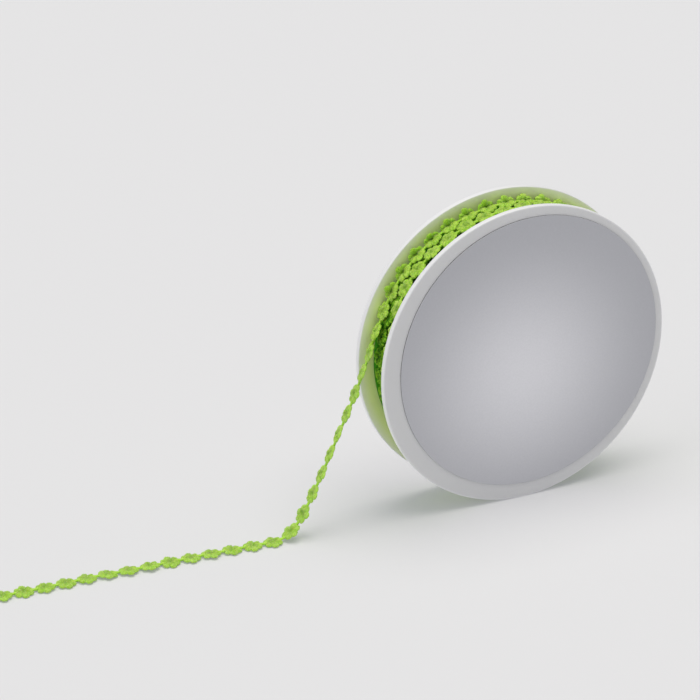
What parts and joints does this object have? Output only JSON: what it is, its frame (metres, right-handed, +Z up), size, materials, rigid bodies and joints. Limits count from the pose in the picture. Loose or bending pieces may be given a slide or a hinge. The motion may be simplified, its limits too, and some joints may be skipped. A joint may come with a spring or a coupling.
{
  "type": "spool of flower trim",
  "caption": "Flat round spool wound with embroidered flower-chain trim, its free end paid out beside it; the spool turns about its axis as the trim is pulled off.",
  "frame": {"origin": "on the surface that the spool stands on, under the middle of the spool", "axes": "+Y along the spool's axis, from the front label towards the rear label; +Z up; the trim's free end runs out towards -X"},
  "size_m": [0.2131, 0.018, 0.09],
  "materials": {
    "flange_plastic": "satin white moulded polystyrene, slightly translucent at the rims",
    "label_paper": "plain silver-grey satin-coated paper sticker",
    "tape_film": "clear adhesive tape",
    "trim_thread": "lime-green polyester embroidery thread, soft sheen"
  },
  "bodies": {
    "free_end": {"trim_tail": "trim_thread"},
    "spool": {"front_flange": "flange_plastic", "rear_flange": "flange_plastic", "core_tube": "flange_plastic", "front_label": "label_paper", "rear_label": "label_paper", "start_tape": "tape_film", "trim_full_layers": "trim_thread", "trim_top_row_middle": "trim_thread", "trim_top_row_rear": "trim_thread"}
  },
  "joints": [
    {"name": "spool_turn", "type": "hinge", "parent": "free_end", "child": "spool", "pos_m": [0, 0, 0.045], "axis": [0, 1, 0], "continuous": true}
  ]
}
